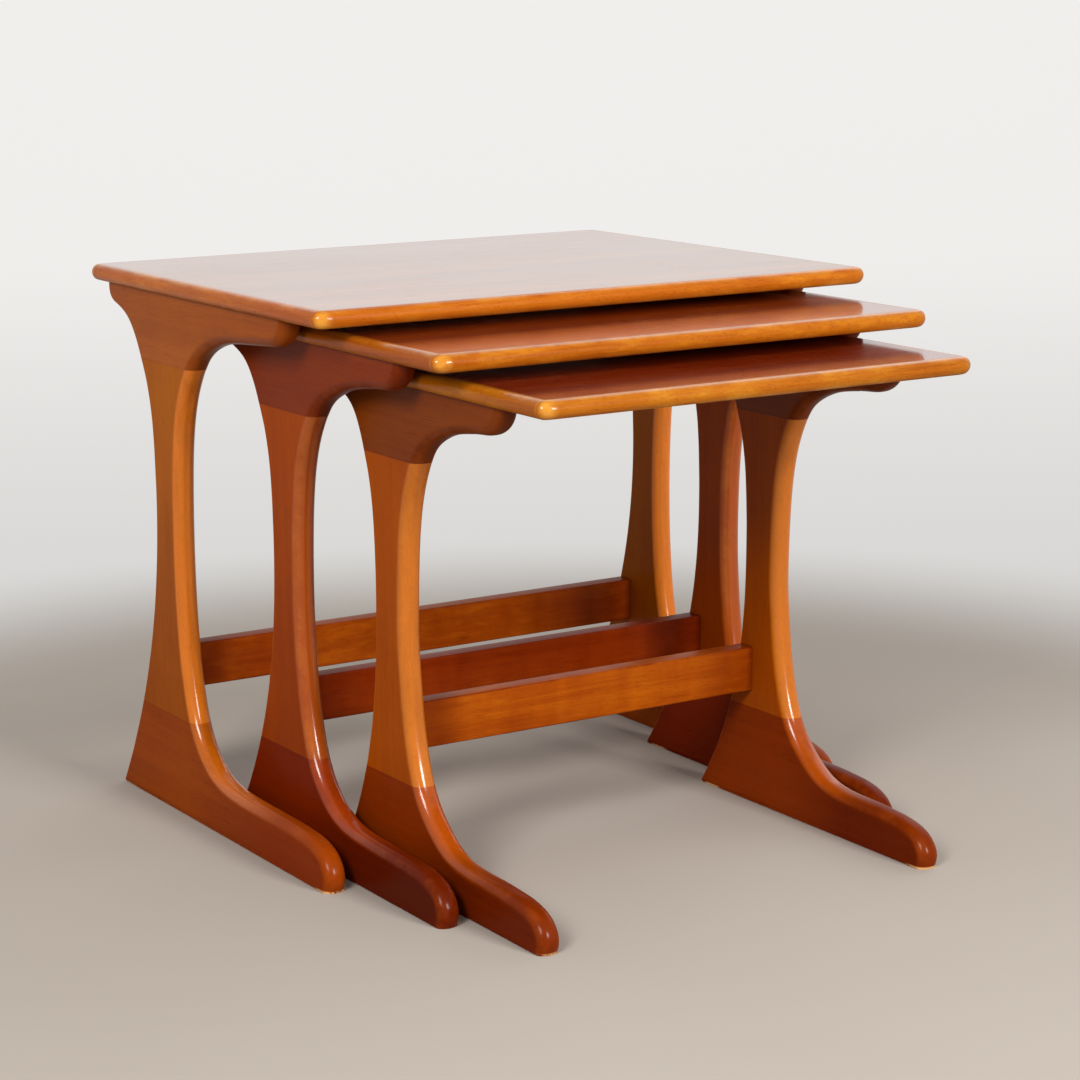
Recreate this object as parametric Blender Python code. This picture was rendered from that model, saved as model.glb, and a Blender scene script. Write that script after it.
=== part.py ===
"""Nest of three occasional tables, each smaller one sliding in under the next.

Every table is a veneered panel with solid bullnosed lippings, standing on two shaped
side frames that a low rail ties together. A side frame is glued up from three pieces,
a bracket under the top, an upright and a foot, and all three are cut from one outline.

Units are metres, +Z is up, the tables face -Y and stand on z = 0. The nest is fanned
out towards -Y, and the middle of that fan lies on the origin.
In a frame's own outline, u runs forwards from the middle of its table's top.
"""
import math

import bmesh
import bpy
from mathutils import Vector

MM = 0.001
FIT_GAP = 0.3 * MM              # between pieces that touch

# ---- driving dimensions -------------------------------------------------------------
TOP_THICKNESS = 15 * MM
LIPPING_WIDTH = 10 * MM
CORNER_RADIUS = 9 * MM          # of the tops, seen from above
FRAME_THICKNESS = 21 * MM
FRAME_INSET = 8 * MM            # outer face of a frame, in from the side of the top
FRONT_ROUNDING = 9 * MM         # on both arrises of a frame's front edge
BACK_ROUNDING = 1.5 * MM
HEEL_INSET = 19 * MM            # foot, in from the front and back of the top
BRACKET_BACK_INSET = 26 * MM
BRACKET_NOSE_INSET = 74 * MM
BRACKET_DEPTH = 63 * MM         # underside of the top down to the bracket's glue line
FOOT_JOINT = 90 * MM            # glue line of the foot, above the floor
RAIL_DEPTH = 18 * MM
RAIL_BOTTOM = 106 * MM
RAIL_TOP = 147 * MM
RAIL_CHAMFER = 1.2 * MM

TENON = (7 * MM, 34 * MM, 20 * MM)      # thick, wide, long
DOWEL_RADIUS = 4 * MM
DOWEL_IN_FRAME = 13 * MM
DOWEL_IN_RAIL = 24 * MM
DOWEL_EDGE = 9 * MM                     # dowel axis, in from the rail's edges
SCREW_HEAD_RADIUS = 4 * MM
SCREW_SHANK_RADIUS = 2 * MM
SCREW_HEAD_HEIGHT = 2.6 * MM
SCREW_SEAT = 15 * MM                    # wood left between the screw head and the top
SCREW_IN_PANEL = 10 * MM
COUNTERBORE_RADIUS = 4.8 * MM

# Each table's size, and the shape of its upright: where the waist lies, front and back,
# and how fast the foot flares behind it. "forward" is the middle of the top in the fan.
TABLES = {
    "large": dict(width=557 * MM, depth=443.4 * MM, height=490 * MM, forward=0.0,
                  waist_back=-109 * MM, waist_front=-68 * MM, waist_height=295 * MM,
                  flare=2.1, toe_height=40 * MM),
    "middle": dict(width=487.6 * MM, depth=403 * MM, height=467 * MM, forward=147.2 * MM,
                   waist_back=-95 * MM, waist_front=-54 * MM, waist_height=278 * MM,
                   flare=2.42, toe_height=39 * MM),
    "small": dict(width=421.2 * MM, depth=362 * MM, height=441 * MM, forward=264.7 * MM,
                  waist_back=-92.7 * MM, waist_front=-50 * MM, waist_height=262 * MM,
                  flare=2.75, toe_height=36 * MM),
}

CURVE_STEPS = 2                 # points between two given points of a frame's outline
FOOT_STEPS = 6
CORNER_STEPS = 3
BULLNOSE_STEPS = 3
ROUND_SIDES = 10

WOODS = {
    "top_veneer": ((0.36, 0.115, 0.035, 1), 0.30),
    "lipping_wood": ((0.50, 0.20, 0.045, 1), 0.34),
    "upright_wood": ((0.34, 0.125, 0.032, 1), 0.36),
    "dark_frame_wood": ((0.20, 0.052, 0.018, 1), 0.34),
    "rail_wood": ((0.40, 0.13, 0.025, 1), 0.36),
    "dowel_wood": ((0.56, 0.38, 0.20, 1), 0.60),
}
STEEL = ((0.55, 0.53, 0.50, 1), 0.35)


# ---- materials ----------------------------------------------------------------------
def material(name):
    """The named material, made the first time it is asked for."""
    mat = bpy.data.materials.get(name)
    if mat:
        return mat
    colour, roughness = WOODS.get(name, STEEL)
    mat = bpy.data.materials.new(name)
    mat.use_nodes = True
    shader = mat.node_tree.nodes["Principled BSDF"]
    shader.inputs["Base Color"].default_value = colour
    shader.inputs["Roughness"].default_value = roughness
    shader.inputs["Metallic"].default_value = 0.0 if name in WOODS else 1.0
    return mat


# ---- mesh helpers -------------------------------------------------------------------
def add_object(name, bm, mat, parent=None):
    """Turn a bmesh into a named object with its faces pointing out."""
    bmesh.ops.recalc_face_normals(bm, faces=bm.faces)
    mesh = bpy.data.meshes.new(name)
    bm.to_mesh(mesh)
    bm.free()
    mesh.materials.append(material(mat))
    mesh.shade_smooth()
    mesh.set_sharp_from_angle(angle=math.radians(35))
    obj = bpy.data.objects.new(name, mesh)
    bpy.context.scene.collection.objects.link(obj)
    obj.parent = parent
    return obj


def stacked(levels):
    """A closed solid through outlines of equal length, capped at the first and last."""
    bm = bmesh.new()
    rings = [[bm.verts.new(point) for point in level] for level in levels]
    count = len(rings[0])
    for low, high in zip(rings, rings[1:]):
        for i in range(count):
            j = (i + 1) % count
            bm.faces.new((low[i], low[j], high[j], high[i]))
    bm.faces.new(rings[0])
    bm.faces.new(rings[-1])
    return bm


def box(low, high):
    """A box between two corners."""
    corners = [(low[0], low[1]), (high[0], low[1]), (high[0], high[1]), (low[0], high[1])]
    return stacked([[(x, y, z) for x, y in corners] for z in (low[2], high[2])])


def turned(profile, base, axis):
    """A solid turned from (radius, distance along the axis) pairs, starting at base."""
    turn = Vector((0, 0, 1)).rotation_difference(Vector(axis))
    levels = []
    for radius, along in profile:
        ring = []
        for i in range(ROUND_SIDES):
            angle = math.tau * (i + 0.5) / ROUND_SIDES
            point = Vector((radius * math.cos(angle), radius * math.sin(angle), along))
            ring.append(Vector(base) + turn @ point)
        levels.append(ring)
    return stacked(levels)


def cut(obj, cutter_mesh, operation="DIFFERENCE"):
    """Cut obj with a closed mesh, or join the mesh to it."""
    cutter = add_object("cutter", cutter_mesh, "dowel_wood", obj.parent)
    boolean = obj.modifiers.new("cut", "BOOLEAN")
    boolean.operation = operation
    boolean.object = cutter
    boolean.solver = "EXACT"
    bpy.context.view_layer.update()
    result = bpy.data.meshes.new_from_object(
        obj.evaluated_get(bpy.context.evaluated_depsgraph_get()))
    obj.modifiers.clear()
    spent = obj.data
    obj.data = result
    bpy.data.objects.remove(cutter)
    bpy.data.meshes.remove(spent)


def rounding(distance, radius):
    """How far a quarter-round of this radius stands back, at a distance from the face."""
    if distance >= radius:
        return 0.0
    return radius - math.sqrt(radius ** 2 - (radius - distance) ** 2)


# ---- curves -------------------------------------------------------------------------
def smooth_run(points, steps):
    """A centripetal Catmull-Rom curve through points, with steps segments per span."""
    pts = [Vector(p) for p in points]
    pts = [2 * pts[0] - pts[1]] + pts + [2 * pts[-1] - pts[-2]]
    run = []
    for p0, p1, p2, p3 in zip(pts, pts[1:], pts[2:], pts[3:]):
        t1 = (p1 - p0).length ** 0.5
        t2 = t1 + (p2 - p1).length ** 0.5
        t3 = t2 + (p3 - p2).length ** 0.5
        for i in range(steps):
            t = t1 + (t2 - t1) * i / steps
            a1 = p0.lerp(p1, t / t1)
            a2 = p1.lerp(p2, (t - t1) / (t2 - t1))
            a3 = p2.lerp(p3, (t - t2) / (t3 - t2))
            b1 = a1.lerp(a2, t / t2)
            b2 = a2.lerp(a3, (t - t1) / (t3 - t1))
            run.append(b1.lerp(b2, (t - t1) / (t2 - t1)))
    run.append(pts[-2])
    return run


def inward_normals(run, inward_at_ends):
    """Unit normals along a run, kept level at both ends so that flat ends stay flat."""
    normals = []
    for before, after in zip([run[0]] + run, run[1:] + [run[-1]]):
        tangent = (after - before).normalized()
        normals.append(Vector((tangent.y, -tangent.x)))
    if normals[len(normals) // 2].x * inward_at_ends < 0:
        normals = [-n for n in normals]
    normals[0] = Vector((inward_at_ends, 0))
    normals[-1] = Vector((inward_at_ends, 0))
    return normals


# ---- side frames --------------------------------------------------------------------
def foot_back(table, height):
    """u of a frame's back edge below the waist: the foot flares as a power curve."""
    heel = -(table["depth"] / 2 - HEEL_INSET)
    below = 1 - height / table["waist_height"]
    return table["waist_back"] + (heel - table["waist_back"]) * below ** table["flare"]


def back_run(table):
    """The frame's back edge, from the top down to the heel."""
    top = table["height"] - TOP_THICKNESS
    back = -(table["depth"] / 2 - BRACKET_BACK_INSET)
    reach = table["waist_back"] - back
    drop = [(back, top), (back, top - 8 * MM), (back + 3.5 * MM, top - 13.5 * MM),
            (back + 9 * MM, top - 17 * MM)]
    # The sweep from the drop to the waist: share of the reach, and depth below the top.
    sweep = [(0.80, 19), (0.60, 26), (0.48, 34), (0.36, 47), (0.25, 64),
             (0.14, 84), (0.05, 113), (0.015, 140)]
    upper = drop + [(table["waist_back"] - share * reach, top - depth * MM)
                    for share, depth in sweep]
    levels = [table["waist_height"] * (1 - i / FOOT_STEPS) for i in range(FOOT_STEPS + 1)]
    return smooth_run(upper, 2) + [Vector((foot_back(table, z), z)) for z in levels]


def front_run(table):
    """The frame's front edge, from the bracket's nose down and out to the toe."""
    top = table["height"] - TOP_THICKNESS
    reach = table["waist_back"] + table["depth"] / 2 - BRACKET_BACK_INSET
    waist = table["waist_front"]
    nose = table["depth"] / 2 - BRACKET_NOSE_INSET
    toe = table["depth"] / 2 - HEEL_INSET
    toe_top = table["toe_height"]
    arm = [(nose, top), (nose - 2 * MM, top - 9 * MM), (nose - 8 * MM, top - 18 * MM),
           (nose - 20 * MM, top - 24.5 * MM), (nose - 45 * MM, top - 27 * MM)]
    arch = [(0.92, 10, 35), (0.56, 0, 52), (0.34, 0, 72), (0.17, 0, 99), (0.06, 0, 137)]
    leg = [(waist + share * reach + more * MM, top - depth * MM) for share, more, depth in arch]
    shin = [(waist, top - 215 * MM), (waist + 2 * MM, 185 * MM), (waist + 9 * MM, 132 * MM),
            (waist + 23 * MM, 88 * MM), (waist + 43 * MM, 64 * MM),
            (waist + 74 * MM, toe_top + 9 * MM)]
    foot = [(toe - 62 * MM, toe_top + 3 * MM), (toe - 32 * MM, toe_top),
            (toe - 13 * MM, toe_top * 0.82), (toe - 2.5 * MM, toe_top * 0.52),
            (toe, toe_top * 0.22), (toe - 3 * MM, 0)]
    return smooth_run(arm + leg + shin + foot, CURVE_STEPS)


def frame_blank(table, outer_x, inwards):
    """One whole side frame: its outline stacked across the thickness, edges rounded."""
    front = front_run(table)
    back = back_run(table)
    front_in = inward_normals(front, -1)
    back_in = inward_normals(back, 1)
    quarter = [0.0, 1.2 * MM, 4.2 * MM, FRONT_ROUNDING]
    across = quarter + [FRAME_THICKNESS - d for d in reversed(quarter)]
    levels = []
    for d in across:
        edge = min(d, FRAME_THICKNESS - d)
        ring = [p + n * rounding(edge, FRONT_ROUNDING) for p, n in zip(front, front_in)]
        ring += [p + n * rounding(edge, BACK_ROUNDING)
                 for p, n in reversed(list(zip(back, back_in)))]
        x = outer_x + inwards * d
        levels.append([(x, table["middle_y"] - p.x, p.y) for p in ring])
    return stacked(levels)


def slice_between(bm, low, high):
    """The part of a closed mesh between two heights, its cut ends filled."""
    piece = bm.copy()
    for height, side in ((low, -1), (high, 1)):
        if height is None:
            continue
        geom = piece.verts[:] + piece.edges[:] + piece.faces[:]
        made = bmesh.ops.bisect_plane(piece, geom=geom, plane_co=(0, 0, height),
                                      plane_no=(0, 0, side), clear_outer=True,
                                      dist=0.001 * MM)
        rim = [e for e in made["geom_cut"] if isinstance(e, bmesh.types.BMEdge)]
        bmesh.ops.contextual_create(piece, geom=rim)
    return piece


def run_u_at(run, height):
    """u where a run crosses a height, going down from the waist or up from it."""
    for a, b in zip(run, run[1:]):
        if (a.y - height) * (b.y - height) <= 0 and a.y != b.y:
            return a.x + (b.x - a.x) * (height - a.y) / (b.y - a.y)
    return run[-1].x


def tenon_box(table, centre_x, at_height, up, clearance):
    """The tenon across a glue line: up is +1 where it points up, -1 where it points down."""
    thick, wide, long = TENON
    u = (run_u_at(front_run(table), at_height) + run_u_at(back_run(table), at_height)) / 2
    y = table["middle_y"] - u
    root, tip = at_height - up * 5 * MM, at_height + up * (long + clearance * 2)
    half = (thick / 2 + clearance, wide / 2 + clearance)
    return box((centre_x - half[0], y - half[1], min(root, tip)),
               (centre_x + half[0], y + half[1], max(root, tip)))


def side_frame(name, table, side, parent):
    """Bracket, upright and foot of one side; side is -1 for left and +1 for right."""
    outer = side * (table["width"] / 2 - FRAME_INSET)
    centre = outer - side * FRAME_THICKNESS / 2
    label = "left" if side < 0 else "right"
    bracket_line = table["height"] - TOP_THICKNESS - BRACKET_DEPTH
    half_gap = FIT_GAP / 2
    blank = frame_blank(table, outer, -side)
    top = table["height"] - TOP_THICKNESS - FIT_GAP
    bracket = add_object(f"{name}_bracket_{label}",
                         slice_between(blank, bracket_line + half_gap, top),
                         "dark_frame_wood", parent)
    upright = add_object(f"{name}_upright_{label}",
                         slice_between(blank, FOOT_JOINT + half_gap,
                                       bracket_line - half_gap),
                         "upright_wood", parent)
    foot = add_object(f"{name}_foot_{label}",
                      slice_between(blank, None, FOOT_JOINT - half_gap),
                      "dark_frame_wood", parent)
    blank.free()
    for line, up, neighbour in ((bracket_line, 1, bracket), (FOOT_JOINT, -1, foot)):
        cut(upright, tenon_box(table, centre, line, up, 0), "UNION")
        cut(neighbour, tenon_box(table, centre, line, up, FIT_GAP))
    for z in dowel_heights():
        cut(upright, turned([(DOWEL_RADIUS + FIT_GAP, -1 * MM),
                             (DOWEL_RADIUS + FIT_GAP, DOWEL_IN_FRAME + FIT_GAP)],
                            (outer - side * FRAME_THICKNESS, rail_middle_y(table), z),
                            (side, 0, 0)))
    for x, y in screw_places(table, side):
        screw_pocket(bracket, x, y, top)
    return bracket, upright, foot


# ---- rail and dowels ----------------------------------------------------------------
def rail_middle_y(table):
    """The rail's back face lies flush with the uprights' back edge at the rail's top."""
    back = foot_back(table, RAIL_TOP) + 1 * MM
    return table["middle_y"] - (back + RAIL_DEPTH / 2)


def dowel_heights():
    return (RAIL_BOTTOM + DOWEL_EDGE, RAIL_TOP - DOWEL_EDGE)


def rail(name, table, parent):
    """The rail between the uprights, with its two dowels in each end."""
    inner = table["width"] / 2 - FRAME_INSET - FRAME_THICKNESS
    reach = inner - FIT_GAP
    y = rail_middle_y(table)
    bm = box((-reach, y - RAIL_DEPTH / 2, RAIL_BOTTOM), (reach, y + RAIL_DEPTH / 2, RAIL_TOP))
    long_edges = [e for e in bm.edges if abs(e.verts[0].co.x - e.verts[1].co.x) > reach]
    bmesh.ops.bevel(bm, geom=long_edges, offset=RAIL_CHAMFER, segments=2, profile=0.5,
                    affect="EDGES")
    bar = add_object(f"{name}_rail", bm, "rail_wood", parent)
    hole = [(DOWEL_RADIUS + FIT_GAP, -1 * MM),
            (DOWEL_RADIUS + FIT_GAP, DOWEL_IN_RAIL + FIT_GAP)]
    chamfer = 1 * MM
    length = DOWEL_IN_FRAME + DOWEL_IN_RAIL
    pin = [(DOWEL_RADIUS - chamfer, 0), (DOWEL_RADIUS, chamfer),
           (DOWEL_RADIUS, length - chamfer), (DOWEL_RADIUS - chamfer, length)]
    for side, label in ((-1, "left"), (1, "right")):
        for z, level in zip(dowel_heights(), ("low", "high")):
            cut(bar, turned(hole, (side * reach, y, z), (-side, 0, 0)))
            start = side * (inner + DOWEL_IN_FRAME)
            add_object(f"{name}_dowel_{label}_{level}",
                       turned(pin, (start, y, z), (-side, 0, 0)), "dowel_wood", parent)


# ---- screws -------------------------------------------------------------------------
def screw_places(table, side):
    """The two screws of one bracket: on its front arm and behind the upright."""
    x = side * (table["width"] / 2 - FRAME_INSET - FRAME_THICKNESS / 2)
    nose = table["depth"] / 2 - BRACKET_NOSE_INSET
    back = -(table["depth"] / 2 - BRACKET_BACK_INSET)
    behind = table["waist_back"] + 0.5 * (back - table["waist_back"])
    return [(x, table["middle_y"] - u) for u in (nose - 48 * MM, behind)]


def screw_pocket(bracket, x, y, top):
    """A counterbore from below, and the shank's hole on through the bracket."""
    deep = BRACKET_DEPTH + 2 * MM
    cut(bracket, turned([(COUNTERBORE_RADIUS, -deep), (COUNTERBORE_RADIUS, -SCREW_SEAT)],
                        (x, y, top), (0, 0, 1)))
    cut(bracket, turned([(SCREW_SHANK_RADIUS + FIT_GAP, -SCREW_SEAT - 1 * MM),
                         (SCREW_SHANK_RADIUS + FIT_GAP, 1 * MM)], (x, y, top), (0, 0, 1)))


def screw(name, x, y, top, parent):
    """A round-headed wood screw with a slot, its point up in the panel."""
    seat = top - SCREW_SEAT - FIT_GAP
    length = SCREW_SEAT + FIT_GAP * 2 + SCREW_IN_PANEL
    profile = [(SCREW_HEAD_RADIUS * 0.62, -SCREW_HEAD_HEIGHT),
               (SCREW_HEAD_RADIUS * 0.93, -SCREW_HEAD_HEIGHT * 0.55),
               (SCREW_HEAD_RADIUS, 0), (SCREW_SHANK_RADIUS, 0.01 * MM),
               (SCREW_SHANK_RADIUS, length - 4 * MM), (0.5 * MM, length)]
    obj = add_object(name, turned(profile, (x, y, seat), (0, 0, 1)), "screw_steel", parent)
    half_slot = 0.6 * MM
    cut(obj, box((x - half_slot, y - 6 * MM, seat - SCREW_HEAD_HEIGHT - 1 * MM),
                 (x + half_slot, y + 6 * MM, seat - SCREW_HEAD_HEIGHT * 0.45)))


# ---- tops ---------------------------------------------------------------------------
def bullnose_levels(table):
    """Heights through a top's thickness, and how far its edge stands back at each."""
    low = table["height"] - TOP_THICKNESS
    half = TOP_THICKNESS / 2
    count = 2 * BULLNOSE_STEPS
    levels = []
    for i in range(count + 1):
        angle = math.pi * (i / count - 0.5)
        levels.append((low + half * (1 + math.sin(angle)), half * (1 - math.cos(angle))))
    return levels


def long_lipping(name, table, front, parent):
    """A full-width lipping with the top's rounded corners; front is +1 or -1."""
    half = table["width"] / 2
    reach = table["depth"] / 2
    inner = reach - LIPPING_WIDTH
    levels = []
    for z, inset in bullnose_levels(table):
        radius = CORNER_RADIUS - inset
        centre = (half - CORNER_RADIUS, reach - CORNER_RADIUS)
        arc = []
        for i in range(CORNER_STEPS + 1):
            angle = math.pi / 2 * i / CORNER_STEPS
            arc.append((centre[0] + radius * math.cos(angle),
                        centre[1] + radius * math.sin(angle)))
        outline = [(half - inset, inner)] + arc
        outline += [(-x, u) for x, u in reversed(outline)]
        levels.append([(x, table["middle_y"] - front * u, z) for x, u in outline])
    label = "front" if front > 0 else "back"
    add_object(f"{name}_lipping_{label}", stacked(levels), "lipping_wood", parent)


def side_lipping(name, table, side, parent):
    """A lipping between the front and back ones; side is -1 for left, +1 for right."""
    half = table["width"] / 2
    reach = table["depth"] / 2 - LIPPING_WIDTH - FIT_GAP
    middle = table["middle_y"]
    levels = []
    for z, inset in bullnose_levels(table):
        outer, inner = side * (half - inset), side * (half - LIPPING_WIDTH)
        levels.append([(outer, middle - reach, z), (outer, middle + reach, z),
                       (inner, middle + reach, z), (inner, middle - reach, z)])
    label = "left" if side < 0 else "right"
    add_object(f"{name}_lipping_{label}", stacked(levels), "lipping_wood", parent)


def top_panel(name, table, parent):
    """The veneered panel inside the lippings, with blind holes for the screws."""
    half = table["width"] / 2 - LIPPING_WIDTH - FIT_GAP
    reach = table["depth"] / 2 - LIPPING_WIDTH - FIT_GAP
    low = table["height"] - TOP_THICKNESS
    panel = add_object(f"{name}_top_panel",
                       box((-half, table["middle_y"] - reach, low),
                           (half, table["middle_y"] + reach, table["height"])),
                       "top_veneer", parent)
    for side in (-1, 1):
        for x, y in screw_places(table, side):
            cut(panel, turned([(SCREW_SHANK_RADIUS + FIT_GAP, -1 * MM),
                               (SCREW_SHANK_RADIUS + FIT_GAP, SCREW_IN_PANEL + 1 * MM)],
                              (x, y, low), (0, 0, 1)))


def build_table(name, table):
    """All pieces of one table, parented to an empty on the floor at its middle."""
    centre = bpy.data.objects.new(f"{name}_table", None)
    bpy.context.scene.collection.objects.link(centre)
    centre.location = (0, table["middle_y"], 0)
    built_around = dict(table, middle_y=0.0)
    top_panel(name, built_around, centre)
    for front in (1, -1):
        long_lipping(name, built_around, front, centre)
    top = table["height"] - TOP_THICKNESS - FIT_GAP
    for side, label in ((-1, "left"), (1, "right")):
        side_lipping(name, built_around, side, centre)
        side_frame(name, built_around, side, centre)
        for (x, y), place in zip(screw_places(built_around, side), ("front", "back")):
            screw(f"{name}_screw_{label}_{place}", x, y, top, centre)
    rail(name, built_around, centre)


def main():
    for obj in list(bpy.data.objects):
        bpy.data.objects.remove(obj, do_unlink=True)
    back = TABLES["large"]["forward"] - TABLES["large"]["depth"] / 2
    front = TABLES["small"]["forward"] + TABLES["small"]["depth"] / 2
    for name, table in TABLES.items():
        table["middle_y"] = (back + front) / 2 - table["forward"]
        build_table(name, table)


main()
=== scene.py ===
"""The looks of a nest of three tables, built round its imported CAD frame.

Every visible piece is made again at full detail from the same outlines as the CAD: the
shaped frames are stacked outlines with their edges rounded by hand-size radii, and the
lippings have a true bullnose. Sizes and places are read from the frame. The woods are
procedural, with the grain running the way each piece was cut.

Units are metres. The tables face -Y; u runs forwards from the middle of a table's top.
"""
import math
import random
from types import SimpleNamespace

import bmesh
import bpy
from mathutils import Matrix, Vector


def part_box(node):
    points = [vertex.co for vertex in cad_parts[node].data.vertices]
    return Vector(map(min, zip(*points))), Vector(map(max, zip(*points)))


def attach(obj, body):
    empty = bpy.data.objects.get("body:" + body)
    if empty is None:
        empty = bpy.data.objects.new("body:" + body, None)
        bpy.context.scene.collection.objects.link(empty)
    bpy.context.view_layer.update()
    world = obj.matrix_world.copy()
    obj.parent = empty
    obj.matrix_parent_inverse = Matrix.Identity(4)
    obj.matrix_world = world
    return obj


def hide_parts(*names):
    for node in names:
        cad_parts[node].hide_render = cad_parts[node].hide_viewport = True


MM = 0.001

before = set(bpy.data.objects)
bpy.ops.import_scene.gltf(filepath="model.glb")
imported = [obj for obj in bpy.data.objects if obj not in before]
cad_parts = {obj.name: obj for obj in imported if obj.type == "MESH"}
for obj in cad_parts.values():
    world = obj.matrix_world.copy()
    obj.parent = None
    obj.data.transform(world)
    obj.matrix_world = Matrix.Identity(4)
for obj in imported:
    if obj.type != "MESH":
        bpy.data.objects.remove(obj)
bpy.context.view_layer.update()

# The waist of each table's upright and the flare of its foot, as the CAD has them.
LEGS = {
    "large": dict(waist_back=-109 * MM, waist_front=-68 * MM, waist_height=295 * MM,
                  flare=2.1, toe_height=40 * MM),
    "middle": dict(waist_back=-95 * MM, waist_front=-54 * MM, waist_height=278 * MM,
                   flare=2.42, toe_height=39 * MM),
    "small": dict(waist_back=-92.7 * MM, waist_front=-50 * MM, waist_height=262 * MM,
                  flare=2.75, toe_height=36 * MM),
}
FRONT_ROUNDING = 9 * MM
BACK_ROUNDING = 1.5 * MM
SOLE_ROUNDING = 0.9 * MM
HEEL_ROUNDING = 3.5 * MM
HEEL_STEPS = 6
FLAT_RIM = 0.8 * MM             # a flat ring inside each rounding, so the flats stay flat
ROUNDING_STEPS = 9
CURVE_STEPS = 6
FOOT_STEPS = 24
SOLE_FADE = 3 * MM              # height over which the sole's rounding dies out
NOSE_POINTS = 20                # of the bracket's front edge, from the top down
NOSE_STEP = 0.05 * MM           # least drop from one of them to the next
OUTLINE_SPACING = 2 * MM
FAIRING_ROUNDS = 8
CORNER_REACH = (16 * MM, 9 * MM)  # of a top's rounded corner, along its front and side
CORNER_STEPS = 12
BULLNOSE_STEPS = 12
SEAM = 0.05 * MM                # a glue line, each side
HALF_CAD_SEAM = 0.15 * MM       # the CAD leaves a wider gap between glued boards
RAIL_ROUNDING = 1.6 * MM
RAIL_ROUNDING_STEPS = 6
RAIL_SEGMENTS = 40
RAIL_BITE = 0.02 * MM           # how far a rail's ends go into the frames
SCREW_BORE_PLAY = 0.8 * MM      # between a screw's head and the bore it sits in
SCREW_BORE_DEPTH = 40 * MM      # past the bracket's underside
SCREW_HEAD_ROOM = 3 * MM        # from the head's lowest point up to the bore's end
SCREW_HEAD_RISE = 2.6 * MM
SCREW_FLAT = 0.15               # of the head's radius, flat in the middle of its dome
SCREW_HEAD_RIM = 0.1 * MM
SCREW_NECK = 0.2 * MM
SCREW_SHANK_RADIUS = 2 * MM
SCREW_TIP_RADIUS = 0.4 * MM
SCREW_SLOT = (0.55 * MM, 6 * MM, 1.3 * MM)  # half its width, half its length, its depth
SCREW_HEAD_SCALE = 1.04         # round, where the CAD's is faceted
DOME_STEPS = 10
LIPPING_END = (0.8 * MM, 0.5 * MM)  # from a side lipping's end: the wear sets in, is full
PANEL_BREAK_BELOW = 0.3 * MM    # the panel's edges, broken by a hair
PANEL_BREAK_ABOVE = 0.02 * MM
CUT_TOLERANCE = 0.001 * MM
# The rounded front of a frame is painted in a colour of its own: a painted highlight on uprights
# and feet, painted shade on brackets.
PAINTED_FRONT_SETS_IN = (0.05, 0.35)  # on the front's rounding, from 0 at the face to 1
PAINTED_FRONT_LOST = 0.85          # of it, towards the toe
PAINTED_FRONT_LOSES = (0.25, 0.70)  # the shares of the way to the toe where that happens
# How rubbed the mesh says its edges are.
FRONT_WEAR = 0.5
BACK_WEAR = 1.0
BACK_WEAR_DEPTHS = (0.3 * MM, 2.4 * MM)  # from the face: full, and gone
ARRIS_WEAR = 0.8                # of a lipping's rounding, above and below
CORNER_START_WEAR = 0.3
# The left corners are rubbed paler than the right: wear, plus a painted highlight where the
# lights fall.
LEFT_CORNER_WEAR_AND_HIGHLIGHT = 1.9
RIGHT_CORNER_WEAR = 0.8
LIPPING_END_WEAR = 3.0


# ---- sizes read from the frame ------------------------------------------------------
def node_box(node):
    low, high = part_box(node)
    return Vector(low), Vector(high)


def measure(name):
    """One table's sizes and places, read from its CAD nodes."""
    front_low, front_high = node_box(f"{name}_lipping_front")
    back = node_box(f"{name}_lipping_back")[1].y
    foot_low, foot_high = node_box(f"{name}_foot_right")
    bracket_low, bracket_high = node_box(f"{name}_bracket_right")
    middle_y = (front_low.y + back) / 2
    table = SimpleNamespace(
        name=name, body=f"{name}_table", middle_y=middle_y,
        half_width=front_high.x, half_depth=back - middle_y,
        top=front_high.z, under=front_low.z, lipping=front_high.y - front_low.y,
        outer_x=foot_high.x, inner_x=foot_low.x, thickness=foot_high.x - foot_low.x,
        heel=middle_y - foot_high.y, toe=middle_y - foot_low.y,
        back=middle_y - bracket_high.y, nose=middle_y - bracket_low.y,
        bracket_line=bracket_low.z, foot_line=foot_high.z,
        rail=node_box(f"{name}_rail"))
    table.__dict__.update(LEGS[name])
    return table


# ---- mesh helpers -------------------------------------------------------------------
def add_piece(name, bm, mat, table, slot, *nodes, sharp=32):
    """A finished piece that rides on its table and stands for the named CAD nodes."""
    bmesh.ops.recalc_face_normals(bm, faces=bm.faces)
    mesh = bpy.data.meshes.new(name)
    bm.to_mesh(mesh)
    bm.free()
    mesh.materials.append(mat)
    mesh.shade_smooth()
    mesh.set_sharp_from_angle(angle=math.radians(sharp))
    obj = bpy.data.objects.new(name, mesh)
    bpy.context.scene.collection.objects.link(obj)
    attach(obj, table.body)
    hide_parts(*nodes)
    return obj


def stacked(levels):
    """A closed solid through outlines of equal length. A level is (points, wear values) or
    (points, wear values, share of each point that lies on a rounded front)."""
    bm = bmesh.new()
    wear_layer = bm.verts.layers.float.new("wear")
    front_layer = bm.verts.layers.float.new("front")
    rings = []
    for points, wear, *front in levels:
        ring = [bm.verts.new(point) for point in points]
        for vert, amount in zip(ring, wear):
            vert[wear_layer] = amount
        for vert, amount in zip(ring, front[0] if front else ()):
            vert[front_layer] = amount
        rings.append(ring)
    count = len(rings[0])
    for low, high in zip(rings, rings[1:]):
        for i in range(count):
            j = (i + 1) % count
            bm.faces.new((low[i], low[j], high[j], high[i]))
    bm.faces.new(rings[0])
    bm.faces.new(rings[-1])
    return bm


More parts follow.
